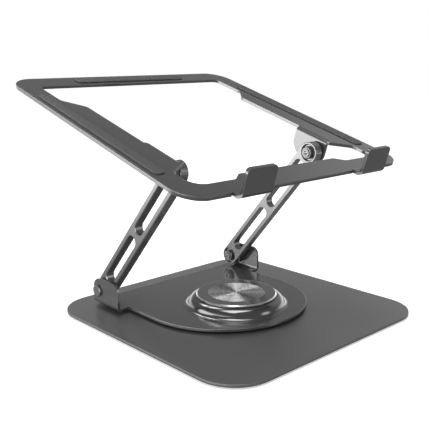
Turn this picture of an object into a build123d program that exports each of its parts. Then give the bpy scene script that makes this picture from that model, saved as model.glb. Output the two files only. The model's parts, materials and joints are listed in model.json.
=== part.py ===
from build123d import *
import math
import os

# Adjustable laptop stand: a sheet-metal base, a turntable plate with two ears, two friction arms and
# a sheet-metal tray with front hooks. Millimetres, +Z up, -Y towards the person who uses it, origin
# in the middle of the surface that the stand rests on.

# ---- general -------------------------------------------------------------------------------------
EDGE = 0.4                  # rounding of a sheet's edges
SHARP = 0.2                 # rounding of an outline's corner that looks sharp
RUNNING = 0.05              # clearance of a hole that turns on its shaft
SLIP = 0.04                 # clearance between faces that slide
CUT = 1.0                   # how far a cutting shape stands past the face that it cuts
BEND_BOX = 20.0             # side of the square that keeps a quarter of a bend
SIDES = {"left": -1, "right": 1}

# ---- base ----------------------------------------------------------------------------------------
BASE_WIDTH = 240.0
BASE_THICK = 2.5
BASE_CORNER = 34.5
FOOT_THICK = 1.5
FOOT_RADIUS = 11.0
FOOT_INSET = 30.0
FOOT_CHAMFER = 0.4
CENTRE_PAD_RADIUS = 38.0
BASE_TOP = FOOT_THICK + BASE_THICK

# ---- turntable plate -----------------------------------------------------------------------------
SWIVEL_THICK = 2.5
SWIVEL_GAP = 1.7
SWIVEL_HALF = 78.0
SWIVEL_NOSE_Y = 19.0
SWIVEL_TOP = BASE_TOP + SWIVEL_GAP + SWIVEL_THICK
EAR_INNER = 87.5
EAR_FRONT_Y = 58.5
EAR_REAR_Y = 96.2
EAR_TOP = BASE_TOP + 27.0
EAR_BEND = 2.0
EAR_FRONT_CORNER = 8.0
EAR_REAR_CORNER = 9.5
EAR_ROOT = 6.0
RELIEF_RADIUS = 1.5
RELIEF_OUT = 0.4

# ---- stamped dome and its cap --------------------------------------------------------------------
DOME_FOOT_RADIUS = 48.0
DOME_TOP_RADIUS = 36.0
DOME_TOP = BASE_TOP + 12.4
DOME_FILLET = 4.6
DOME_HOLE_RADIUS = 13.0
CAP_RADIUS = 36.5
CAP_THICK = 2.1
CAP_CHAMFER = 0.9
DISC_RADIUS = 26.0
DISC_SEAT = 0.5
DISC_THICK = 0.6
DISC_CHAMFER = 0.1

# ---- turntable bearing, hidden in the dome -------------------------------------------------------
POST_RADIUS = 4.0
POST_FOOT_RADIUS = 5.0
POST_FLANGE_RADIUS = 8.0
POST_FLANGE_THICK = 1.5
BALL_RADIUS = 2.5
BALL_COUNT = 16
BALL_CIRCLE = 24.0
BALL_CLEARANCE = 0.06
CAGE_HALF_WIDTH = 5.0
CAGE_HALF_THICK = 0.6
RACE_OUTER = 31.0
RACE_INNER = 15.0
DOME_UNDER = DOME_TOP - SWIVEL_THICK
BALL_Z = (BASE_TOP + DOME_UNDER) / 2
RACE_THICK = 4.0
RACE_SCREWS = 4
RACE_SCREW_CIRCLE = 18.0
RACE_SCREW_RADIUS = 1.5
RACE_SCREW_HEAD = 2.9
RACE_SCREW_BITE = 3.0
THRUST_RADIUS = 11.5
WAVE_RADIUS = 9.0
WASHER_THICK = 0.6
CENTRE_NUT_FLATS = 13.0
NUT_TOP = DOME_TOP + 1.0
NUT_ROOM = 0.2

# ---- pivots --------------------------------------------------------------------------------------
PIVOT_Y = 89.0
PIVOT_Z = BASE_TOP + 15.35
BOLT_RADIUS = 4.0
BOLT_HEAD_RADIUS = 5.6
BOLT_HEAD_THICK = 2.3
BOLT_HEAD_CHAMFER = 0.6
BOLT_TIP = 73.0
BOLT_TIP_CHAMFER = 0.4
FRICTION_WASHER_RADIUS = 7.6
SPRING_RADIUS = 7.2
SPRING_STEP_IN = 0.6
SPRING_COUNT = 3
SPRING_STACK = 2.0
NUT_THICK = 4.6
NUT_FLATS = 11.0
NUT_CORNER_RADIUS = 6.0
NUT_CHAMFER = 1.0
NUT_FLANGE_RADIUS = 6.4
NUT_FLANGE_THICK = 1.0
SOCKET_FLATS = 4.0
SOCKET_DEPTH = 4.0

# ---- arms ----------------------------------------------------------------------------------------
ARM_LENGTH = 160.6
ARM_ELEVATION = 48.8
ARM_WIDTH = 19.6
ARM_INNER = 76.6
ARM_OUTER = 85.3
ARM_CHAMFER = 0.6
SLOT_HALF = 5.4
SLOT_ENDS = ((14.0, 77.5), (84.5, 149.0))
COUNTERBORE_RADIUS = 8.4
COUNTERBORE_DEPTH = 4.0

# ---- tray, drawn with its pivot axis as the origin -----------------------------------------------
TRAY_SLOPE = 16.8
TRAY_THICK = 3.0
TRAY_TOP = 14.2
TRAY_HALF = 128.4
TRAY_FRONT = -67.7
TRAY_BACK = 191.4
TRAY_CORNER = 22.0
BACK_BAR_INNER = 169.8
BACK_BAR_CORNER = 6.0
NARROW_X = 108.2
WIDE_X = 93.2
FLARE_REAR = 132.3
FLARE_FRONT = 113.3
FLARE_CORNER = 8.0
TRAY_EAR_REAR = 28.7
TRAY_EAR_FRONT = -9.5
TRAY_EAR_DROP = 9.9
TRAY_EAR_BEND = 4.0
TRAY_EAR_FRONT_CORNER = 9.4
TRAY_EAR_REAR_CORNER = 7.0
TRAY_EAR_CUT_BACK = 6.5
TRAY_EAR_CUT_UP = -1.6
TRAY_EAR_OVERLAP = 4.0
REAR_RELIEF = 1.6
REAR_RELIEF_CORNER = 0.8
FRONT_RELIEF = 0.35
FRONT_LAND = -12.5
FRONT_LAND_BLEND = 1.5
FRONT_CORNER_X = 107.0
FRONT_CORNER_Y = -24.7
FRONT_CORNER_BLEND = 5.0
FRONT_BAR_INNER = -48.9
FRONT_BAR_CORNER = 13.0
FRONT_BAR_LOWER = -41.7
FRONT_STEP_OUTER = 66.5
FRONT_STEP_INNER = 57.0
FRONT_STEP_BLEND = 4.0
HOOK_INNER_X = 54.5
HOOK_OUTER_X = 85.7
HOOK_FACE = -76.1
HOOK_HEIGHT = 21.8
HOOK_BEND = 2.6
HOOK_CORNER = 4.0
HOOK_ROOT = 3.0
NOTCH_WIDTH = 1.6
NOTCH_LENGTH = 3.2

# ---- silicone pads -------------------------------------------------------------------------------
PAD_WIDTH = 11.0
PAD_THICK = 1.2
PAD_X = 118.3
PAD_FRONT = -25.2
PAD_REAR = 145.3
BACK_PAD_HALF = 64.5
BACK_PAD_Y = 179.8
PAD_CORNER = 4.6
PAD_EDGE = 0.4
HOOK_PAD_WIDTH = 26.0
HOOK_PAD_HEIGHT = 13.0
HOOK_PAD_CORNER = 2.0
HOOK_PAD_LIFT = 0.6

UPPER_Y = PIVOT_Y - ARM_LENGTH * math.cos(math.radians(ARM_ELEVATION))
UPPER_Z = PIVOT_Z + ARM_LENGTH * math.sin(math.radians(ARM_ELEVATION))


# ---- helpers -------------------------------------------------------------------------------------
def outline(corners):
    """A closed face from (x, y, corner radius) triples, with every corner rounded."""
    points = [(x, y) for x, y, _ in corners]
    radii = [radius for _, _, radius in corners]
    return make_face(FilletPolyline(*points, radius=radii, close=True))


def slab(face, low, high):
    """The face pulled into a plate between two heights."""
    return Pos(0, 0, low) * extrude(face, amount=high - low)


def soften(solid, amount):
    """Round the edges of a plate's two flat faces."""
    levels = solid.faces().sort_by(Axis.Z)
    rims = levels[0].edges() + levels[-1].edges()
    return fillet(rims, amount)


def rod(radius, start, end, y=0.0, z=0.0):
    """A cylinder along X between two X positions."""
    length = abs(end - start)
    place = Pos((start + end) / 2, y, z) * Rot(0, 90, 0)
    return place * Cylinder(radius, length)


def tube(radius, bore, start, end):
    """A washer or ring along X."""
    return rod(radius, start, end) - rod(bore, start - CUT, end + CUT)


def hexagon_rod(flats, start, end):
    """A hexagonal bar along X, with flats at the top and bottom."""
    shape = extrude(RegularPolygon(flats / 2, 6, major_radius=False), amount=abs(end - start))
    return Pos(min(start, end), 0, 0) * Rot(0, 90, 0) * shape


def disc(radius, low, high):
    return Pos(0, 0, (low + high) / 2) * Cylinder(radius, high - low)


def ring(radius, bore, low, high):
    return disc(radius, low, high) - disc(bore, low - CUT, high + CUT)


def ring_places(count, radius, offset=0.0):
    """Positions spread evenly on a circle about the turning axis."""
    step = 360.0 / count
    return [Rot(0, 0, offset + step * index) * Pos(radius, 0, 0) for index in range(count)]


def countersunk(radius, head_radius, head_z, tip_z):
    """A countersunk screw with its flat head at head_z; the tip may be above or below it."""
    sign = 1 if tip_z > head_z else -1
    cone_end = head_z + sign * (head_radius - radius)
    cone = loft([Pos(0, 0, head_z) * Circle(head_radius), Pos(0, 0, cone_end) * Circle(radius)])
    shank = disc(radius, min(cone_end, tip_z), max(cone_end, tip_z))
    return cone + shank


# ---- base pieces ---------------------------------------------------------------------------------
def base_screw_places():
    return ring_places(RACE_SCREWS, RACE_SCREW_CIRCLE, 180 / RACE_SCREWS)


def base_screw():
    return countersunk(RACE_SCREW_RADIUS, RACE_SCREW_HEAD, FOOT_THICK, BASE_TOP + RACE_SCREW_BITE)


def base_plate():
    plate = slab(RectangleRounded(BASE_WIDTH, BASE_WIDTH, BASE_CORNER), FOOT_THICK, BASE_TOP)
    plate = soften(plate, EDGE)
    plate -= disc(POST_FOOT_RADIUS, 0, BASE_TOP + CUT)
    for place in base_screw_places():
        plate -= place * base_screw()
    return plate


def base_feet():
    reach = BASE_WIDTH / 2 - FOOT_INSET
    foot = chamfer(disc(FOOT_RADIUS, 0, FOOT_THICK).edges().sort_by(Axis.Z)[:1], FOOT_CHAMFER)
    return [Pos(sx * reach, sy * reach, 0) * foot for sx in (-1, 1) for sy in (-1, 1)]


def centre_pad():
    pad = disc(CENTRE_PAD_RADIUS, 0, FOOT_THICK)
    return chamfer(pad.edges().sort_by(Axis.Z)[:1], FOOT_CHAMFER)


def ball_groove():
    return Pos(0, 0, BALL_Z) * Torus(BALL_CIRCLE, BALL_RADIUS + BALL_CLEARANCE)


def lower_race():
    race = ring(RACE_OUTER, RACE_INNER, BASE_TOP, BASE_TOP + RACE_THICK) - ball_groove()
    for place in base_screw_places():
        race -= place * base_screw()
    return race


def centre_post():
    foot = disc(POST_FOOT_RADIUS, FOOT_THICK, BASE_TOP)
    flange = disc(POST_FLANGE_RADIUS, BASE_TOP, BASE_TOP + POST_FLANGE_THICK)
    return foot + flange + disc(POST_RADIUS, BASE_TOP, NUT_TOP)


def thrust_washer():
    return ring(THRUST_RADIUS, POST_RADIUS + RUNNING, DOME_UNDER + SLIP, DOME_UNDER + WASHER_THICK)


def wave_spring():
    low = DOME_UNDER + WASHER_THICK
    return ring(WAVE_RADIUS, POST_RADIUS + RUNNING, low, low + WASHER_THICK)


def centre_nut():
    low = DOME_UNDER + 2 * WASHER_THICK
    hexagon = RegularPolygon(CENTRE_NUT_FLATS / 2, 6, major_radius=False)
    body = Pos(0, 0, low) * extrude(hexagon, amount=NUT_TOP - low)
    return body - disc(POST_RADIUS, low - CUT, NUT_TOP + CUT)


# ---- ball cage -----------------------------------------------------------------------------------
def bearing_balls():
    ball = Pos(0, 0, BALL_Z) * Sphere(BALL_RADIUS)
    return [place * ball for place in ring_places(BALL_COUNT, BALL_CIRCLE)]


def ball_cage():
    outer = BALL_CIRCLE + CAGE_HALF_WIDTH
    inner = BALL_CIRCLE - CAGE_HALF_WIDTH
    cage = ring(outer, inner, BALL_Z - CAGE_HALF_THICK, BALL_Z + CAGE_HALF_THICK)
    for place in ring_places(BALL_COUNT, BALL_CIRCLE):
        cage -= place * disc(BALL_RADIUS + BALL_CLEARANCE, BALL_Z - CUT, BALL_Z + CUT)
    return cage


# ---- turntable pieces ----------------------------------------------------------------------------
def cap_screw():
    return countersunk(RACE_SCREW_RADIUS, RACE_SCREW_HEAD, DOME_TOP, DOME_UNDER - RACE_SCREW_BITE)


def cap_screw_places():
    return ring_places(RACE_SCREWS, RACE_SCREW_CIRCLE)


def dome_section():
    """Half section of the stamped dome: a hollow fillet, a rounded shoulder and a flat top."""
    rise = DOME_TOP - SWIVEL_TOP
    run = DOME_FOOT_RADIUS - DOME_TOP_RADIUS
    turn = 2 * math.atan2(rise, run)
    shoulder = run / math.sin(turn) - DOME_FILLET
    foot_centre = (DOME_FOOT_RADIUS, SWIVEL_TOP + DOME_FILLET)
    top_centre = (DOME_TOP_RADIUS, DOME_TOP - shoulder)

    def around(centre, radius, angle):
        return (centre[0] + radius * math.sin(angle), centre[1] + radius * math.cos(angle))

    def skin(foot_radius, top_radius):
        bend = [around(foot_centre, -foot_radius, turn * step) for step in (0, 0.5, 1)]
        crown = [around(top_centre, top_radius, turn * step) for step in (1, 0.5, 0)]
        return bend, crown

    outer_bend, outer_crown = skin(DOME_FILLET, shoulder)
    inner_bend, inner_crown = skin(DOME_FILLET + SWIVEL_THICK, shoulder - SWIVEL_THICK)
    edges = [
        ThreePointArc(*outer_bend),
        ThreePointArc(*outer_crown),
        Line(outer_crown[-1], (DOME_HOLE_RADIUS, DOME_TOP)),
        Line((DOME_HOLE_RADIUS, DOME_TOP), (DOME_HOLE_RADIUS, DOME_UNDER)),
        Line((DOME_HOLE_RADIUS, DOME_UNDER), inner_crown[-1]),
        ThreePointArc(*inner_crown),
        ThreePointArc(*inner_bend),
        Line(inner_bend[0], outer_bend[0]),
    ]
    return make_face(Wire(edges))


def dome():
    return revolve(Plane.XZ * dome_section(), Axis.Z)


def swivel_ear():
    """Ear on the +X side: a flat tab from the plate and an upright face, joined by a bend."""
    outer = EAR_INNER + SWIVEL_THICK
    bottom = SWIVEL_TOP - SWIVEL_THICK
    reach = outer - EAR_BEND - SWIVEL_THICK
    length = EAR_REAR_Y - EAR_FRONT_Y
    centre = (reach, SWIVEL_TOP + EAR_BEND)
    tab = reach - SWIVEL_HALF + EAR_ROOT
    section = Rectangle(tab, SWIVEL_THICK, align=(Align.MAX, Align.MIN))
    section = Pos(reach, bottom) * section
    bend = Circle(EAR_BEND + SWIVEL_THICK) - Circle(EAR_BEND)
    bend &= Rectangle(BEND_BOX, BEND_BOX, align=(Align.MIN, Align.MAX))
    section += Pos(*centre) * bend
    upright = Rectangle(SWIVEL_THICK, EAR_TOP - centre[1], align=(Align.MAX, Align.MIN))
    section += Pos(outer, centre[1]) * upright
    ear = Pos(0, EAR_REAR_Y, 0) * extrude(Plane.XZ * section, amount=length)
    shape = outline([
        (EAR_FRONT_Y, bottom - CUT, SHARP),
        (EAR_REAR_Y, bottom - CUT, SHARP),
        (EAR_REAR_Y, EAR_TOP, EAR_REAR_CORNER),
        (EAR_FRONT_Y, EAR_TOP, EAR_FRONT_CORNER),
    ])
    ear &= extrude(Plane.YZ * shape, amount=outer + CUT)
    return ear - rod(BOLT_RADIUS, EAR_INNER - CUT, outer + CUT, PIVOT_Y, PIVOT_Z)


def swivel_plate():
    nose = Pos(0, SWIVEL_NOSE_Y) * Circle(SWIVEL_HALF)
    rear = outline([
        (-SWIVEL_HALF, SWIVEL_NOSE_Y, SHARP),
        (SWIVEL_HALF, SWIVEL_NOSE_Y, SHARP),
        (SWIVEL_HALF, EAR_REAR_Y, SHARP),
        (-SWIVEL_HALF, EAR_REAR_Y, SHARP),
    ])
    flat = slab(nose + rear, SWIVEL_TOP - SWIVEL_THICK, SWIVEL_TOP)
    flat = soften(flat, EDGE)
    flat -= disc(DOME_FOOT_RADIUS, 0, DOME_TOP)
    plate = flat + dome()
    for side in SIDES.values():
        ear = swivel_ear() if side > 0 else mirror(swivel_ear(), Plane.YZ)
        plate += ear
        relief = disc(RELIEF_RADIUS, 0, SWIVEL_TOP + CUT)
        plate -= Pos(side * (SWIVEL_HALF + RELIEF_OUT), EAR_FRONT_Y, 0) * relief
    for place in cap_screw_places():
        plate -= place * cap_screw()
    return plate


def upper_race():
    race = ring(RACE_OUTER, POST_RADIUS + RUNNING, DOME_UNDER - RACE_THICK, DOME_UNDER)
    race -= ball_groove()
    for place in cap_screw_places():
        race -= place * cap_screw()
    return race


def dome_cap():
    cap = disc(CAP_RADIUS, DOME_TOP, DOME_TOP + CAP_THICK)
    cap = chamfer(cap.edges().sort_by(Axis.Z)[-1:], CAP_CHAMFER)
    cap -= disc(DISC_RADIUS, DOME_TOP + CAP_THICK - DISC_SEAT, DOME_TOP + CAP_THICK + CUT)
    return cap - disc(DOME_HOLE_RADIUS, DOME_TOP - CUT, NUT_TOP + NUT_ROOM)


def cap_disc():
    low = DOME_TOP + CAP_THICK - DISC_SEAT
    plate = disc(DISC_RADIUS, low, low + DISC_THICK)
    return chamfer(plate.edges().sort_by(Axis.Z)[-1:], DISC_CHAMFER)


# ---- pivot hardware, drawn on the X axis and then moved to a pivot --------------------------------
def pivot_bolt(ear_outer):
    """Shoulder bolt: chamfered head outside the ear, socket in the inner end."""
    head = rod(BOLT_HEAD_RADIUS, ear_outer + SLIP, ear_outer + BOLT_HEAD_THICK)
    head = chamfer(head.edges().sort_by(Axis.X)[-1:], BOLT_HEAD_CHAMFER)
    bolt = head + rod(BOLT_RADIUS, BOLT_TIP, ear_outer + SLIP)
    bolt = chamfer(bolt.edges().sort_by(Axis.X)[:1], BOLT_TIP_CHAMFER)
    return bolt - hexagon_rod(SOCKET_FLATS, BOLT_TIP - CUT, BOLT_TIP + SOCKET_DEPTH)


def friction_washer():
    return tube(FRICTION_WASHER_RADIUS, BOLT_RADIUS, ARM_OUTER + SLIP, EAR_INNER - SLIP)


def spring_washers():
    """Disc springs stacked in the arm's counterbore, every second one smaller."""
    floor = ARM_INNER + COUNTERBORE_DEPTH - SLIP
    step = SPRING_STACK / SPRING_COUNT
    stack = []
    for index in range(SPRING_COUNT):
        high = floor - index * step
        radius = SPRING_RADIUS - SPRING_STEP_IN * (index % 2)
        stack.append(tube(radius, BOLT_RADIUS, high - step, high))
    return stack


def pivot_nut():
    high = ARM_INNER + COUNTERBORE_DEPTH - SLIP - SPRING_STACK
    low = high - NUT_THICK
    nut = hexagon_rod(NUT_FLATS, low, high)
    cone = rod(NUT_CORNER_RADIUS, low, high)
    cone = chamfer(cone.edges().sort_by(Axis.X)[:1], NUT_CHAMFER)
    flange = rod(NUT_FLANGE_RADIUS, high - NUT_FLANGE_THICK, high)
    return (nut & cone) + flange - rod(BOLT_RADIUS, low - CUT, high + CUT)


# ---- arms ----------------------------------------------------------------------------------------
def arm():
    """Arm on the +X side, drawn lying along +Y from the lower pivot at the origin."""
    bar = SlotCenterToCenter(ARM_LENGTH, ARM_WIDTH)
    blank = slab(Pos(ARM_LENGTH / 2, 0) * bar, ARM_INNER, ARM_OUTER)
    for start, end in SLOT_ENDS:
        hole = SlotOverall(end - start, 2 * SLOT_HALF)
        blank -= slab(Pos((start + end) / 2, 0) * hole, ARM_INNER - CUT, ARM_OUTER + CUT)
    faces = blank.faces().sort_by(Axis.Z)
    blank = chamfer(faces[0].edges() + faces[-1].edges(), ARM_CHAMFER)
    counterbore = disc(COUNTERBORE_RADIUS, ARM_INNER - CUT, ARM_INNER + COUNTERBORE_DEPTH)
    hole = disc(BOLT_RADIUS + RUNNING, ARM_INNER, ARM_OUTER + CUT)
    for along in (0, ARM_LENGTH):
        blank -= Pos(along, 0, 0) * counterbore
        blank -= Pos(along, 0, 0) * hole
    return blank


def placed_arm(side):
    """Stand the arm on its pivot: thickness along X, length up and towards the front."""
    upright = Location(Plane(origin=(0, 0, 0), x_dir=(0, -1, 0), z_dir=(1, 0, 0)))
    tilt = Rot(-ARM_ELEVATION, 0, 0)
    shape = Pos(0, PIVOT_Y, PIVOT_Z) * tilt * upright * arm()
    return shape if side > 0 else mirror(shape, Plane.YZ)


# ---- tray ----------------------------------------------------------------------------------------
def tray_outer():
    height = TRAY_BACK - TRAY_FRONT
    plate = RectangleRounded(2 * TRAY_HALF, height, TRAY_CORNER)
    return Pos(0, (TRAY_BACK + TRAY_FRONT) / 2) * plate


def tray_opening():
    """The large window: narrow side strips at the back, wide ones at the ears, a stepped front bar."""
    ear_x = EAR_INNER + TRAY_EAR_BEND
    half = [
        (NARROW_X, BACK_BAR_INNER, BACK_BAR_CORNER),
        (NARROW_X, FLARE_REAR, FLARE_CORNER),
        (WIDE_X, FLARE_FRONT, FLARE_CORNER),
        (WIDE_X, TRAY_EAR_REAR + REAR_RELIEF, REAR_RELIEF_CORNER),
        (ear_x, TRAY_EAR_REAR + REAR_RELIEF, SHARP),
        (ear_x, TRAY_EAR_FRONT - FRONT_RELIEF, SHARP),
        (EAR_INNER, TRAY_EAR_FRONT - FRONT_RELIEF, SHARP),
        (EAR_INNER, FRONT_LAND, FRONT_LAND_BLEND),
        (FRONT_CORNER_X, FRONT_CORNER_Y, FRONT_CORNER_BLEND),
        (FRONT_CORNER_X, FRONT_BAR_INNER, FRONT_BAR_CORNER),
        (FRONT_STEP_OUTER, FRONT_BAR_INNER, FRONT_STEP_BLEND),
        (FRONT_STEP_INNER, FRONT_BAR_LOWER, FRONT_STEP_BLEND),
    ]
    other = [(-x, y, radius) for x, y, radius in reversed(half)]
    return outline(half + other)


def tray_ear():
    """Ear on the +X side: the strip's inner edge bent down, with rounded lower corners."""
    low = -TRAY_EAR_DROP
    under = TRAY_TOP - TRAY_THICK
    corner = EAR_INNER + TRAY_EAR_BEND
    inside = TRAY_EAR_BEND - TRAY_THICK
    bend = Circle(TRAY_EAR_BEND) - Circle(inside)
    bend &= Rectangle(BEND_BOX, BEND_BOX, align=(Align.MAX, Align.MIN))
    section = Pos(corner, TRAY_TOP - TRAY_EAR_BEND) * bend
    face = Rectangle(TRAY_THICK, TRAY_TOP - TRAY_EAR_BEND - low, align=(Align.MIN, Align.MIN))
    section += Pos(EAR_INNER, low) * face
    strip = Rectangle(TRAY_EAR_OVERLAP, TRAY_THICK, align=(Align.MIN, Align.MIN))
    section += Pos(corner, under) * strip
    length = TRAY_EAR_REAR - TRAY_EAR_FRONT
    ear = Pos(0, TRAY_EAR_REAR, 0) * extrude(Plane.XZ * section, amount=length)
    shape = outline([
        (TRAY_EAR_FRONT, TRAY_TOP + CUT, SHARP),
        (TRAY_EAR_FRONT, low, TRAY_EAR_FRONT_CORNER),
        (TRAY_EAR_REAR - TRAY_EAR_CUT_BACK, low, TRAY_EAR_REAR_CORNER),
        (TRAY_EAR_REAR, TRAY_EAR_CUT_UP, TRAY_EAR_REAR_CORNER),
        (TRAY_EAR_REAR, TRAY_TOP + CUT, SHARP),
    ])
    ear &= extrude(Plane.YZ * shape, amount=TRAY_HALF)
    return ear - rod(BOLT_RADIUS + RUNNING, EAR_INNER - CUT, EAR_INNER + TRAY_THICK + CUT)


def tray_hook():
    """Hook on the +X side: the front bar's edge bent up into a lip."""
    bend_y = HOOK_FACE + TRAY_THICK + HOOK_BEND
    bend_z = TRAY_TOP + HOOK_BEND
    curl = Circle(HOOK_BEND + TRAY_THICK) - Circle(HOOK_BEND)
    curl &= Rectangle(BEND_BOX, BEND_BOX, align=(Align.MAX, Align.MAX))
    section = Pos(bend_y, bend_z) * curl
    lip = Rectangle(TRAY_THICK, HOOK_HEIGHT - HOOK_BEND, align=(Align.MIN, Align.MIN))
    section += Pos(HOOK_FACE, bend_z) * lip
    floor = Rectangle(TRAY_FRONT + HOOK_ROOT - bend_y, TRAY_THICK, align=(Align.MIN, Align.MAX))
    section += Pos(bend_y, TRAY_TOP) * floor
    width = HOOK_OUTER_X - HOOK_INNER_X
    hook = Pos(HOOK_INNER_X, 0, 0) * extrude(Plane.YZ * section, amount=width)
    top = TRAY_TOP + HOOK_HEIGHT
    under = TRAY_TOP - TRAY_THICK - CUT
    shape = outline([
        (HOOK_INNER_X, under, SHARP),
        (HOOK_OUTER_X, under, SHARP),
        (HOOK_OUTER_X, top, HOOK_CORNER),
        (HOOK_INNER_X, top, HOOK_CORNER),
    ])
    return hook & extrude(Plane.XZ * shape, amount=CUT - HOOK_FACE)


def hook_reliefs():
    """Small notches each side of a hook, which keep the bend from tearing."""
    spots = []
    low, high = TRAY_TOP - TRAY_THICK - CUT, TRAY_TOP + CUT
    for edge in (HOOK_INNER_X - NOTCH_WIDTH / 2, HOOK_OUTER_X + NOTCH_WIDTH / 2):
        notch = Pos(edge, TRAY_FRONT) * Rectangle(NOTCH_WIDTH, NOTCH_LENGTH)
        spots.append(slab(notch, low, high))
    return spots


def tray_frame():
    face = tray_outer() - tray_opening()
    sheet = slab(face, TRAY_TOP - TRAY_THICK, TRAY_TOP)
    sheet = soften(sheet, EDGE)
    for side in SIDES.values():
        pieces = [tray_ear(), tray_hook()]
        notches = hook_reliefs()
        if side < 0:
            pieces = [mirror(piece, Plane.YZ) for piece in pieces]
            notches = [mirror(notch, Plane.YZ) for notch in notches]
        for notch in notches:
            sheet -= notch
        for piece in pieces:
            sheet += piece
    return sheet


def strip_pad(width, length):
    pad = slab(RectangleRounded(width, length, PAD_CORNER), TRAY_TOP, TRAY_TOP + PAD_THICK)
    return fillet(pad.faces().sort_by(Axis.Z)[-1].edges(), PAD_EDGE)


def side_pad(side):
    pad = strip_pad(PAD_WIDTH, PAD_REAR - PAD_FRONT)
    return Pos(side * PAD_X, (PAD_REAR + PAD_FRONT) / 2, 0) * pad


def back_pad():
    return Pos(0, BACK_PAD_Y, 0) * strip_pad(2 * BACK_PAD_HALF, PAD_WIDTH)


def hook_pad(side):
    """Thin pad on the rear face of a hook's lip."""
    middle = (HOOK_INNER_X + HOOK_OUTER_X) / 2
    low = TRAY_TOP + HOOK_BEND + HOOK_PAD_LIFT
    shape = RectangleRounded(HOOK_PAD_WIDTH, HOOK_PAD_HEIGHT, HOOK_PAD_CORNER)
    pad = extrude(Plane.XZ * shape, amount=-PAD_THICK)
    pad = fillet(pad.faces().sort_by(Axis.Y)[-1].edges(), PAD_EDGE)
    return Pos(side * middle, HOOK_FACE + TRAY_THICK, low + HOOK_PAD_HEIGHT / 2) * pad


# ---- placing -------------------------------------------------------------------------------------
def on_tray(shape):
    return Pos(0, UPPER_Y, UPPER_Z) * Rot(TRAY_SLOPE, 0, 0) * shape


def at_pivot(shape, side, upper):
    """Move hardware drawn on the X axis to one of the four pivots."""
    placed = shape if side > 0 else mirror(shape, Plane.YZ)
    return Pos(0, UPPER_Y, UPPER_Z) * placed if upper else Pos(0, PIVOT_Y, PIVOT_Z) * placed


def pivot_pieces():
    pieces = {}
    for name, side in SIDES.items():
        for level in ("lower", "upper"):
            upper = level == "upper"
            ear_outer = EAR_INNER + (TRAY_THICK if upper else SWIVEL_THICK)
            label = f"{name}_{level}"
            pieces[f"{label}_bolt"] = at_pivot(pivot_bolt(ear_outer), side, upper)
            pieces[f"{label}_friction_washer"] = at_pivot(friction_washer(), side, upper)
            stack = [at_pivot(washer, side, upper) for washer in spring_washers()]
            pieces[f"{label}_disc_springs"] = stack
            pieces[f"{label}_nut"] = at_pivot(pivot_nut(), side, upper)
    return pieces


def pieces():
    made = {
        "base_plate": base_plate(),
        "base_feet": base_feet(),
        "centre_pad": centre_pad(),
        "lower_race": lower_race(),
        "lower_race_screws": [place * base_screw() for place in base_screw_places()],
        "centre_post": centre_post(),
        "thrust_washer": thrust_washer(),
        "wave_spring": wave_spring(),
        "centre_nut": centre_nut(),
        "ball_cage": ball_cage(),
        "bearing_balls": bearing_balls(),
        "swivel_plate": swivel_plate(),
        "upper_race": upper_race(),
        "upper_race_screws": [place * cap_screw() for place in cap_screw_places()],
        "dome_cap": dome_cap(),
        "cap_disc": cap_disc(),
        "tray_frame": on_tray(tray_frame()),
        "back_pad": on_tray(back_pad()),
    }
    for name, side in SIDES.items():
        made[f"{name}_arm"] = placed_arm(side)
        made[f"{name}_pad"] = on_tray(side_pad(side))
        made[f"{name}_hook_pad"] = on_tray(hook_pad(side))
    made.update(pivot_pieces())
    return made


def main():
    os.makedirs("parts", exist_ok=True)
    for node, shape in pieces().items():
        group = shape if isinstance(shape, list) else [shape]
        solids = [solid for piece in group for solid in piece.solids()]
        export_step(Compound(solids), f"parts/{node}.step")


main()
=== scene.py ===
import json
import math

import bpy
from mathutils import Matrix, Vector


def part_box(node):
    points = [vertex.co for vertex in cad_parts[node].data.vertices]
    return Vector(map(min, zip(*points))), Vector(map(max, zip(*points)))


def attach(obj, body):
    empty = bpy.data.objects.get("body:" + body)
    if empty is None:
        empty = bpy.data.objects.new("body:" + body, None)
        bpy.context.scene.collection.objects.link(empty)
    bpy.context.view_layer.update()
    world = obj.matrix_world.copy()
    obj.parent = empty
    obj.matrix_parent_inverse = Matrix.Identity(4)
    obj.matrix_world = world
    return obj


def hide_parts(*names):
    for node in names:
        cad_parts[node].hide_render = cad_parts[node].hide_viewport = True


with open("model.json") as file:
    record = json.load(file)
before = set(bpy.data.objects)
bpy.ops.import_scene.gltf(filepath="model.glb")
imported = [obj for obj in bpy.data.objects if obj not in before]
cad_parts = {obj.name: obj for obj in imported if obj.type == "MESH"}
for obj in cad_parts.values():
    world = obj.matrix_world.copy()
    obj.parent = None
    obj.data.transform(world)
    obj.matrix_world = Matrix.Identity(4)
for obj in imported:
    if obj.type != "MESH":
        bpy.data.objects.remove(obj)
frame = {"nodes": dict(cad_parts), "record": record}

# Laptop stand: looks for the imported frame. Metres, +Z up, -Y towards the person who uses the stand.
MM = 0.001

# ---- camera --------------------------------------------------------------------------------------
CAMERA_PLACE = Vector((-0.4227, -0.4330, 0.2289))
CAMERA_HEADING = 42.525
CAMERA_DIP = 12.887
CAMERA_ROLL = -0.4265
LENS = 58.47
SENSOR = 36.0
CLIP = (0.01, 100.0)

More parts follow.
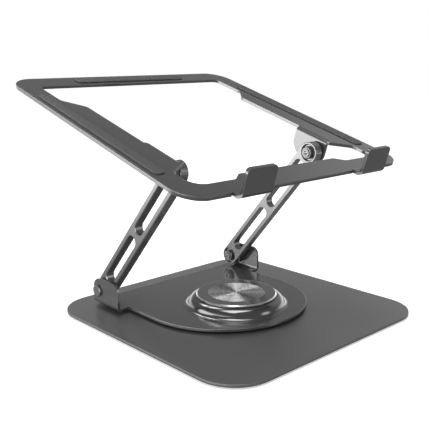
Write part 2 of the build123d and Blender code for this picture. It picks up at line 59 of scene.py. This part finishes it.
# ---- studio: angles in degrees, radiance in plain shader strength --------------------------------
FLOOR_HALF = 30.0
FLOOR_PALE = 0.80
FLOOR_GLOW = 0.42
FLOOR_FADE = (0.35, 1.6)
GROUND_LIGHT = 0.36
SKY_LIGHT = 0.31
BAND_POWER = 1.5
BAND_BOTTOM = (-17.0, -7.0)
BAND_TOP = (5.0, 15.0)
SIDE_BOX_HEADING = -80.0
SIDE_BOX_HALF = (33.0, 54.0)
SIDE_BOX_BOTTOM = (-17.5, -6.0)
SIDE_BOX_TOP = (24.0, 34.0)
SIDE_BOX_POWER = 4.9
ROUND_BOXES = (
    ((-137.5, 86.0), 8.0, 24.0, 6.5),
    ((14.0, 50.0), 4.0, 13.0, 9.0),
    ((150.0, 20.0), 4.0, 14.0, 2.5),
    ((84.0, 20.0), 10.0, 32.0, 0.4),
)

# ---- turned pieces on the turntable axis ---------------------------------------------------------
TURN_STEPS = 256
CAP_GROOVE = 0.45 * MM
CAP_GROOVE_HEIGHT = 0.5 * MM
CAP_CHAMFER = 0.9 * MM
CAP_LIP = 2.0 * MM
CAP_FOOT_BREAK = 0.1 * MM
CAP_SEAT_BREAK = 0.12 * MM
RIM_SKIN = 0.04 * MM
RIM_OVERLAP = 0.15 * MM
RIM_CORNER = 0.02 * MM
DISC_PITCH = 0.25 * MM
DISC_SLOPES = (0.08, 0.80)
DISC_STEPS = 180
DISC_EDGE = 0.1 * MM
DISC_FIRST = 0.2 * MM
GOLDEN = 0.6180339887

# ---- silicone strips: the section is (inset in mm, part of the height), from the sheet to the crown
PAD_CORNER = 4.6 * MM
HOOK_PAD_CORNER = 2.0 * MM
PAD_CORNER_LEAST = 0.3 * MM
PAD_CORNER_STEPS = 10
PAD_SECTION = (
    (0.0, 0.0), (0.0, 0.50), (0.08, 0.72), (0.28, 0.88), (0.60, 0.95), (1.4, 0.985), (3.0, 1.0),
)

# ---- materials: tones are linear greys -----------------------------------------------------------
NOISE_SPAN = (0.3, 0.7)
METAL_GRAIN = 900.0
METAL_GRAIN_DETAIL = 2.0
METAL_RELIEF = 0.012
METAL_RELIEF_DEPTH = 0.05 * MM
MOTTLE_SCALE = 16.0
MOTTLE_DETAIL = 4.0
MOTTLE = 0.03
GLOSS_SPREAD = 0.08
# Painted highlight along the edges of metal parts: bevel reach and samples, the facing span that marks
# an edge, and the noise that breaks the line up.
EDGE_HIGHLIGHT_RADIUS = 0.5 * MM
EDGE_HIGHLIGHT_SAMPLES = 6
EDGE_HIGHLIGHT_FACING = (0.995, 0.90)
EDGE_HIGHLIGHT_BREAKS = 120.0
EDGE_HIGHLIGHT_BREAKS_DETAIL = 3.0
EDGE_HIGHLIGHT_BREAKS_SPAN = (0.3, 0.6)
EDGE_HIGHLIGHT_LEAST = 0.8
PEBBLE_GRAIN = 1500.0
PEBBLE_RELIEF = 0.12
PEBBLE_DEPTH = 0.03 * MM
BLOOM_SCALE = 60.0
BLOOM_DETAIL = 4.0
BLOOM = 0.07
BLOOM_ROUGH = 0.05
RUBBER_SPECULAR = 0.35
SHEET_SHINE = 0.7
# Tone of the painted highlight along the sheets' edges.
SHEET_EDGE_HIGHLIGHT = 0.22
BASE_TONE = 0.128
BASE_ROUGH = 0.30
PLATE_TONE = 0.122
PLATE_ROUGH = 0.14
DOME_SHINE = 0.9
DOME_REACH = (14 * MM, 6 * MM)
BOLT_TONE = 0.12
BOLT_ROUGH = 0.22
BOLT_SHINE = 0.6
# Tone of the painted highlight along the bolts' edges, as a multiple of the bolt tone.
BOLT_EDGE_HIGHLIGHT_GAIN = 1.6
SOCKET_RADIUS = 2.1 * MM
SOCKET_DEPTH = (0.02 * MM, 4.2 * MM)
# Tone of the painted highlight inside the bolts' sockets.
SOCKET_HIGHLIGHT_TONE = 0.75


def heading(degrees, rise=0.0):
    """Unit vector at a compass heading, from +Y towards +X, and an angle above the horizon."""
    turn, lift = math.radians(degrees), math.radians(rise)
    return Vector((math.sin(turn) * math.cos(lift), math.cos(turn) * math.cos(lift), math.sin(lift)))


def make_camera():
    forward = heading(CAMERA_HEADING, -CAMERA_DIP)
    right = forward.cross(Vector((0, 0, 1))).normalized()
    up = right.cross(forward)
    columns = Matrix((right, up, -forward)).transposed()
    roll = Matrix.Rotation(math.radians(CAMERA_ROLL), 3, "Z")
    data = bpy.data.cameras.new("camera")
    data.sensor_width = SENSOR
    data.lens = LENS
    data.clip_start, data.clip_end = CLIP
    camera = bpy.data.objects.new("camera", data)
    camera.matrix_world = Matrix.Translation(CAMERA_PLACE) @ (columns @ roll).to_4x4()
    bpy.context.scene.collection.objects.link(camera)
    bpy.context.scene.camera = camera


# ---- node helpers --------------------------------------------------------------------------------
class Nodes:
    """Short calls for building a node tree; a value is a number, a colour, a vector or an output."""

    def __init__(self, tree):
        """Start with an empty tree."""
        self.tree = tree
        tree.nodes.clear()

    def add(self, kind, settings=None, **values):
        made = self.tree.nodes.new(kind)
        for name, value in (settings or {}).items():
            setattr(made, name, value)
        for name, value in values.items():
            self.feed(made.inputs[name.replace("_", " ")], value)
        return made

    def feed(self, socket, value):
        if isinstance(value, bpy.types.NodeSocket):
            self.tree.links.new(value, socket)
        else:
            socket.default_value = value

    def math(self, operation, *values):
        made = self.tree.nodes.new("ShaderNodeMath")
        made.operation = operation
        for socket, value in zip(made.inputs, values):
            self.feed(socket, value)
        return made.outputs[0]

    def dot(self, a, b):
        made = self.add("ShaderNodeVectorMath", {"operation": "DOT_PRODUCT"})
        self.feed(made.inputs[0], a)
        self.feed(made.inputs[1], b)
        return made.outputs["Value"]

    def length(self, vector):
        made = self.add("ShaderNodeVectorMath", {"operation": "LENGTH"})
        self.feed(made.inputs[0], vector)
        return made.outputs["Value"]

    def place(self):
        """Object coordinates, in metres from the object's own origin."""
        return self.add("ShaderNodeTexCoord").outputs["Object"]

    def ramp(self, value, start, end, low, high, smooth=True):
        """Map a value from start..end to low..high, and hold it at them beyond that."""
        made = self.add("ShaderNodeMapRange")
        made.interpolation_type = "SMOOTHSTEP" if smooth else "LINEAR"
        names = ("Value", "From Min", "From Max", "To Min", "To Max")
        for name, setting in zip(names, (value, start, end, low, high)):
            self.feed(made.inputs[name], setting)
        return made.outputs[0]

    def noise(self, place, scale, detail):
        return self.add("ShaderNodeTexNoise", Vector=place, Scale=scale, Detail=detail).outputs[0]

    def spread(self, noise, low, high):
        """Stretch the usual span of a noise to low..high."""
        return self.ramp(noise, *NOISE_SPAN, low, high, smooth=False)


def grey(value):
    return (value, value, value, 1.0)


def new_material(name):
    """A material with a Principled shader joined to its output."""
    material = bpy.data.materials.new(name)
    material.use_nodes = True
    nodes = Nodes(material.node_tree)
    shader = nodes.add("ShaderNodeBsdfPrincipled")
    nodes.add("ShaderNodeOutputMaterial", Surface=shader.outputs[0])
    return material, nodes, shader


# ---- studio --------------------------------------------------------------------------------------
def make_world():
    """A dim studio with a bright band round the horizon, a wide softbox at the left and four round
    lights; white to the camera."""
    world = bpy.data.worlds.new("studio")
    world.use_nodes = True
    nodes = Nodes(world.node_tree)
    way = nodes.add("ShaderNodeTexCoord").outputs["Generated"]
    height = nodes.dot(way, (0, 0, 1))

    def rise(angles, low, high):
        start, end = (math.sin(math.radians(angle)) for angle in angles)
        return nodes.ramp(height, start, end, low, high)

    def shelf(bottom, top):
        return nodes.math("MULTIPLY", rise(bottom, 0.0, 1.0), rise(top, 1.0, 0.0))

    level = rise(BAND_BOTTOM, GROUND_LIGHT, SKY_LIGHT)
    band = nodes.math("MULTIPLY", shelf(BAND_BOTTOM, BAND_TOP), BAND_POWER)
    level = nodes.math("ADD", level, band)
    flat = nodes.math("SQRT", nodes.math("SUBTRACT", 1.0, nodes.math("MULTIPLY", height, height)))
    across = nodes.math("DIVIDE", nodes.dot(way, heading(SIDE_BOX_HEADING)), flat)
    inner, outer = (math.cos(math.radians(angle)) for angle in SIDE_BOX_HALF)
    side = nodes.ramp(across, outer, inner, 0.0, SIDE_BOX_POWER)
    side = nodes.math("MULTIPLY", side, shelf(SIDE_BOX_BOTTOM, SIDE_BOX_TOP))
    level = nodes.math("ADD", level, side)
    for aim, inner, outer, power in ROUND_BOXES:
        near = nodes.dot(way, heading(*aim))
        start, end = (math.cos(math.radians(angle)) for angle in (outer, inner))
        level = nodes.math("ADD", level, nodes.ramp(near, start, end, 0.0, power))
    studio = nodes.add("ShaderNodeBackground", Color=grey(1.0), Strength=level)
    seen = nodes.add("ShaderNodeBackground", Color=grey(1.0), Strength=1.0)
    mix = nodes.add("ShaderNodeMixShader", Fac=nodes.add("ShaderNodeLightPath").outputs["Is Camera Ray"])
    nodes.feed(mix.inputs[1], studio.outputs[0])
    nodes.feed(mix.inputs[2], seen.outputs[0])
    nodes.add("ShaderNodeOutputWorld", Surface=mix.outputs[0])
    bpy.context.scene.world = world


def make_floor():
    """A pale floor that fades into the white surround."""
    corners = [(x * FLOOR_HALF, y * FLOOR_HALF, 0) for x, y in ((-1, -1), (1, -1), (1, 1), (-1, 1))]
    mesh = bpy.data.meshes.new("floor")
    mesh.from_pydata(corners, [], [(0, 1, 2, 3)])
    floor = bpy.data.objects.new("floor", mesh)
    bpy.context.scene.collection.objects.link(floor)
    material = bpy.data.materials.new("pale_floor")
    material.use_nodes = True
    nodes = Nodes(material.node_tree)
    far = nodes.ramp(nodes.length(nodes.place()), *FLOOR_FADE, 0.0, 1.0)
    matt = nodes.add("ShaderNodeBsdfDiffuse", Color=grey(FLOOR_PALE))
    glow = nodes.add("ShaderNodeEmission", Color=grey(1.0), Strength=FLOOR_GLOW)
    lit = nodes.add("ShaderNodeAddShader")
    nodes.feed(lit.inputs[0], matt.outputs[0])
    nodes.feed(lit.inputs[1], glow.outputs[0])
    white = nodes.add("ShaderNodeEmission", Color=grey(1.0), Strength=1.0)
    mix = nodes.add("ShaderNodeMixShader", Fac=far)
    nodes.feed(mix.inputs[1], lit.outputs[0])
    nodes.feed(mix.inputs[2], white.outputs[0])
    nodes.add("ShaderNodeOutputMaterial", Surface=mix.outputs[0])
    mesh.materials.append(material)
    floor.visible_glossy = False
    floor.visible_shadow = False
    floor.visible_diffuse = False


# ---- materials -----------------------------------------------------------------------------------
def build_metal(name, tone, rough, edge=None, shine=1.0, relief=METAL_RELIEF):
    """Satin metal: slight mottling, a fine grain in its gloss and relief, and painted edge highlights.
    A shine under one mixes in the matt body of a coating. Returns the material, its nodes, its
    shader and its colour."""
    material, nodes, shader = new_material(name)
    nodes.feed(shader.inputs["Metallic"], shine)
    place = nodes.place()
    fine = nodes.noise(place, METAL_GRAIN, METAL_GRAIN_DETAIL)
    broad = nodes.noise(place, MOTTLE_SCALE, MOTTLE_DETAIL)
    colour = nodes.spread(broad, tone * (1 - MOTTLE), tone * (1 + MOTTLE))
    # Painted highlight: a bevel mask finds the rounded edges and lifts the colour there towards the edge
    # tone, broken up by noise.
    if edge is not None:
        bevel = nodes.add("ShaderNodeBevel", {"samples": EDGE_HIGHLIGHT_SAMPLES}, Radius=EDGE_HIGHLIGHT_RADIUS).outputs[0]
        normal = nodes.add("ShaderNodeNewGeometry").outputs["Normal"]
        edge_highlight = nodes.ramp(nodes.dot(bevel, normal), *EDGE_HIGHLIGHT_FACING, 0.0, 1.0)
        breaks = nodes.noise(place, EDGE_HIGHLIGHT_BREAKS, EDGE_HIGHLIGHT_BREAKS_DETAIL)
        edge_highlight = nodes.math("MULTIPLY", edge_highlight, nodes.ramp(breaks, *EDGE_HIGHLIGHT_BREAKS_SPAN, EDGE_HIGHLIGHT_LEAST, 1.0))
        colour = nodes.math("ADD", colour, nodes.math("MULTIPLY", edge_highlight, edge - tone))
    gloss = nodes.spread(fine, rough * (1 - GLOSS_SPREAD), rough * (1 + GLOSS_SPREAD))
    bump = nodes.add("ShaderNodeBump", Strength=relief, Distance=METAL_RELIEF_DEPTH, Height=fine)
    nodes.feed(shader.inputs["Base Color"], colour)
    nodes.feed(shader.inputs["Roughness"], gloss)
    nodes.feed(shader.inputs["Normal"], bump.outputs[0])
    return material, nodes, shader, colour


def metal(name, tone, rough, **settings):
    return build_metal(name, tone, rough, **settings)[0]


def rubber(name, tone, rough):
    """Matt rubber or plastic with a fine pebbled skin and a faint bloom."""
    material, nodes, shader = new_material(name)
    place = nodes.place()
    pebble = nodes.add("ShaderNodeTexVoronoi", Vector=place, Scale=PEBBLE_GRAIN).outputs["Distance"]
    bloom = nodes.noise(place, BLOOM_SCALE, BLOOM_DETAIL)
    bump = nodes.add("ShaderNodeBump", Strength=PEBBLE_RELIEF, Distance=PEBBLE_DEPTH, Height=pebble)
    nodes.feed(shader.inputs["Base Color"], nodes.spread(bloom, tone * (1 - BLOOM), tone * (1 + BLOOM)))
    nodes.feed(shader.inputs["Roughness"], nodes.spread(bloom, rough - BLOOM_ROUGH, rough + BLOOM_ROUGH))
    nodes.feed(shader.inputs["Specular IOR Level"], RUBBER_SPECULAR)
    nodes.feed(shader.inputs["Normal"], bump.outputs[0])
    return material


def swivel_metal():
    """The turntable plate's coating, which has less of its matt body over the stamped dome."""
    look = {"edge": SHEET_EDGE_HIGHLIGHT, "shine": SHEET_SHINE}
    material, nodes, shader, _ = build_metal("satin_turntable", PLATE_TONE, PLATE_ROUGH, **look)
    cap_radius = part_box("dome_cap")[1].x
    flat = nodes.add("ShaderNodeVectorMath", {"operation": "MULTIPLY"})
    nodes.feed(flat.inputs[0], nodes.place())
    nodes.feed(flat.inputs[1], (1, 1, 0))
    start, end = (cap_radius + reach for reach in DOME_REACH)
    shine = nodes.ramp(nodes.length(flat.outputs[0]), start, end, SHEET_SHINE, DOME_SHINE)
    nodes.feed(shader.inputs["Metallic"], shine)
    return material


def bolt_metal(node):
    """Dark bolt with a painted highlight in its hex socket, whose colour is lifted to a bright tone."""
    look = {"edge": BOLT_TONE * BOLT_EDGE_HIGHLIGHT_GAIN, "shine": BOLT_SHINE}
    material, nodes, shader, colour = build_metal(node + "_metal", BOLT_TONE, BOLT_ROUGH, **look)
    low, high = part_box(node)
    axis = (low + high) / 2
    tip = min(abs(low.x), abs(high.x))
    place = nodes.add("ShaderNodeSeparateXYZ", Vector=nodes.place())
    off = nodes.add("ShaderNodeCombineXYZ")
    nodes.feed(off.inputs["Y"], nodes.math("SUBTRACT", place.outputs["Y"], axis.y))
    nodes.feed(off.inputs["Z"], nodes.math("SUBTRACT", place.outputs["Z"], axis.z))
    depth = nodes.math("ABSOLUTE", place.outputs["X"])
    socket = nodes.math("LESS_THAN", nodes.length(off.outputs[0]), SOCKET_RADIUS)
    socket = nodes.math("MULTIPLY", socket, nodes.math("GREATER_THAN", depth, tip + SOCKET_DEPTH[0]))
    socket = nodes.math("MULTIPLY", socket, nodes.math("LESS_THAN", depth, tip + SOCKET_DEPTH[1]))
    # Painted highlight: the colour inside the socket is lifted towards a bright tone.
    painted_socket_highlight = nodes.math("MULTIPLY", socket, SOCKET_HIGHLIGHT_TONE - BOLT_TONE)
    nodes.feed(shader.inputs["Base Color"], nodes.math("ADD", colour, painted_socket_highlight))
    return material


# Each edge setting is the tone of a painted highlight along that part's edges.
MATERIALS = {
    "grey_sheet": lambda: metal("satin_grey_sheet", 0.115, 0.14, edge=SHEET_EDGE_HIGHLIGHT, shine=SHEET_SHINE),
    "arm_metal": lambda: metal("satin_arm", 0.148, 0.17, edge=0.26, shine=0.65),
    "cap_metal": lambda: metal("satin_cap", 0.125, 0.14, shine=0.7),
    "spun_disc": lambda: metal("spun_disc_metal", 0.24, 0.27, relief=0.01),
    "silicone": lambda: rubber("silicone_pad", 0.045, 0.55),
    "foot_rubber": lambda: rubber("foot_rubber_black", 0.02, 0.7),
    "bearing_steel": lambda: metal("bearing_bright", 0.5, 0.12),
    "plated_steel": lambda: metal("plated_bright", 0.45, 0.25, edge=0.6),
    "dark_steel": lambda: metal("dark_steel_nut", 0.11, 0.22, edge=0.19, shine=0.7),
    "spring_steel": lambda: metal("spring_dark", 0.14, 0.3, edge=0.25),
    "cage_plastic": lambda: rubber("cage_nylon", 0.5, 0.4),
    "bright_cut": lambda: metal("bright_cut_rim", 0.62, 0.25),
}


def paint(made):
    """Give each CAD node its slot's material; bolts, base plate and turntable plate have their own."""
    for name, piece in frame["nodes"].items():
        for place in piece.material_slots:
            place.material = made[place.material.name]
        if name.endswith("_bolt"):
            piece.material_slots[0].material = bolt_metal(name)
    base = metal("satin_base", BASE_TONE, BASE_ROUGH, edge=SHEET_EDGE_HIGHLIGHT, shine=SHEET_SHINE)
    frame["nodes"]["base_plate"].material_slots[0].material = base
    frame["nodes"]["swivel_plate"].material_slots[0].material = swivel_metal()


# ---- mesh helpers --------------------------------------------------------------------------------
def new_piece(name, points, faces, material, smooth):
    mesh = bpy.data.meshes.new(name)
    mesh.from_pydata(points, [], faces)
    mesh.validate()
    if smooth:
        mesh.shade_smooth()
    else:
        mesh.shade_flat()
    mesh.materials.append(material)
    piece = bpy.data.objects.new(name, mesh)
    bpy.context.scene.collection.objects.link(piece)
    return piece


def bridge(loops, count):
    """Quads between neighbouring closed loops of count points each."""
    faces = []
    for index in range(loops - 1):
        low, high = index * count, (index + 1) * count
        for step in range(count):
            after = (step + 1) % count
            faces.append((low + step, low + after, high + after, high + step))
    return faces


def turned(name, section, material, steps=TURN_STEPS):
    """Spin a section of (radius, height) points, from the outside in, about the turntable axis."""
    points = []
    for radius, height in section:
        for step in range(steps):
            angle = 2 * math.pi * step / steps
            points.append((radius * math.cos(angle), radius * math.sin(angle), height))
    faces = bridge(len(section), steps)
    if section[-1][0] < DISC_PITCH:
        faces.append(tuple(range((len(section) - 1) * steps, len(section) * steps)))
    return new_piece(name, points, faces, material, smooth=False)


def settle(piece, body, node=None):
    """Let a piece ride on a body, in place of a CAD node if one is named."""
    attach(piece, body)
    if node:
        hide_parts(node)


# ---- cap and disc --------------------------------------------------------------------------------
def make_cap(made):
    """Turned cap: undercut foot, upright wall, bright-cut chamfer and a satin top round the disc."""
    low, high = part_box("dome_cap")
    radius, base, top = high.x, low.z, high.z
    disc_low, disc_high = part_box("cap_disc")
    seat, floor = disc_high.x, disc_low.z
    undercut, shelf = radius - CAP_GROOVE, base + CAP_GROOVE_HEIGHT
    shoulder, crest = top - CAP_CHAMFER, radius - CAP_CHAMFER
    body = [
        (seat - CAP_LIP, base), (undercut, base), (undercut, shelf),
        (radius - CAP_FOOT_BREAK, shelf), (radius, shelf + CAP_FOOT_BREAK), (radius, shoulder),
        (crest, top), (seat + CAP_SEAT_BREAK, top), (seat, top - CAP_SEAT_BREAK), (seat, floor),
    ]
    cap = turned("turned_cap", body, made["cap_metal"])
    settle(cap, "turntable", "dome_cap")
    rim = [
        (radius + RIM_SKIN, shoulder - RIM_OVERLAP), (radius + RIM_SKIN, shoulder + RIM_CORNER),
        (crest + RIM_CORNER, top + RIM_SKIN), (crest - RIM_OVERLAP, top + RIM_SKIN),
        (crest - RIM_OVERLAP, top - RIM_SKIN),
    ]
    edge = turned("bright_rim", rim, made["bright_cut"])
    settle(edge, "turntable")


def make_disc(made):
    """Face-turned disc: fine concentric grooves whose slopes differ a little from turn to turn."""
    low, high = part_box("cap_disc")
    radius, top, bottom = high.x, high.z, low.z
    section = [(radius, bottom), (radius, top - DISC_EDGE), (radius - DISC_EDGE, top)]
    count = int((radius - 2 * DISC_FIRST) / DISC_PITCH)
    gentle, steep = DISC_SLOPES
    for index in range(count):
        ridge = radius - DISC_FIRST - index * DISC_PITCH
        slope = gentle + (steep - gentle) * ((index * GOLDEN) % 1.0)
        section.append((ridge, top))
        section.append((ridge - DISC_PITCH / 2, top - slope * DISC_PITCH / 2))
    section.append((DISC_PITCH / 2, top))
    disc = turned("spun_disc", section, made["spun_disc"], DISC_STEPS)
    settle(disc, "turntable", "cap_disc")


# ---- silicone strips -----------------------------------------------------------------------------
def tray_axes():
    """Axes of the tray at rest: across, along the slope, and square to the sheet."""
    rest = next(mount for mount in frame["record"]["mounts"] if mount["name"] == "laptop_rest")
    up = Vector(rest["axis"]).normalized()
    across = Vector((1, 0, 0))
    return across, up.cross(across), up


def rounded_loop(half_u, half_v, corner):
    """Points round a rectangle with rounded corners, anticlockwise from its right side."""
    points = []
    for turn, su, sv in ((0, 1, 1), (1, -1, 1), (2, -1, -1), (3, 1, -1)):
        for step in range(PAD_CORNER_STEPS + 1):
            angle = math.pi / 2 * (turn + step / PAD_CORNER_STEPS)
            u = su * (half_u - corner) + corner * math.cos(angle)
            v = sv * (half_v - corner) + corner * math.sin(angle)
            points.append((u, v))
    return points


def make_pad(node, axes, corner, made):
    """Crowned strip with soft edges, in the place of one CAD pad; axes are width, length, height."""
    vertices = frame["nodes"][node].data.vertices
    spans = [[axis.dot(vertex.co) for vertex in vertices] for axis in axes]
    middle = [(min(span) + max(span)) / 2 for span in spans]
    half_u, half_v = ((max(span) - min(span)) / 2 for span in spans[:2])
    bottom, height = min(spans[2]), max(spans[2]) - min(spans[2])
    points = []
    for inset_mm, level in PAD_SECTION:
        inset = inset_mm * MM
        lifted = axes[2] * (bottom + height * level)
        for u, v in rounded_loop(half_u - inset, half_v - inset, max(corner - inset, PAD_CORNER_LEAST)):
            points.append(axes[0] * (middle[0] + u) + axes[1] * (middle[1] + v) + lifted)
    count = 4 * (PAD_CORNER_STEPS + 1)
    faces = bridge(len(PAD_SECTION), count)
    faces.append(tuple(range((len(PAD_SECTION) - 1) * count, len(PAD_SECTION) * count)))
    faces.append(tuple(reversed(range(count))))
    pad = new_piece(node + "_strip", points, faces, made["silicone"], smooth=True)
    settle(pad, "tray", node)


def make_pads(made):
    across, along, up = tray_axes()
    for node in ("left_pad", "right_pad", "back_pad"):
        make_pad(node, (across, along, up), PAD_CORNER, made)
    for node in ("left_hook_pad", "right_hook_pad"):
        make_pad(node, (-across, up, along), HOOK_PAD_CORNER, made)


make_camera()
make_world()
make_floor()
bpy.context.scene.view_settings.view_transform = "Standard"
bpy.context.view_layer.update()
made = {slot: make() for slot, make in MATERIALS.items()}
paint(made)
make_cap(made)
make_disc(made)
make_pads(made)
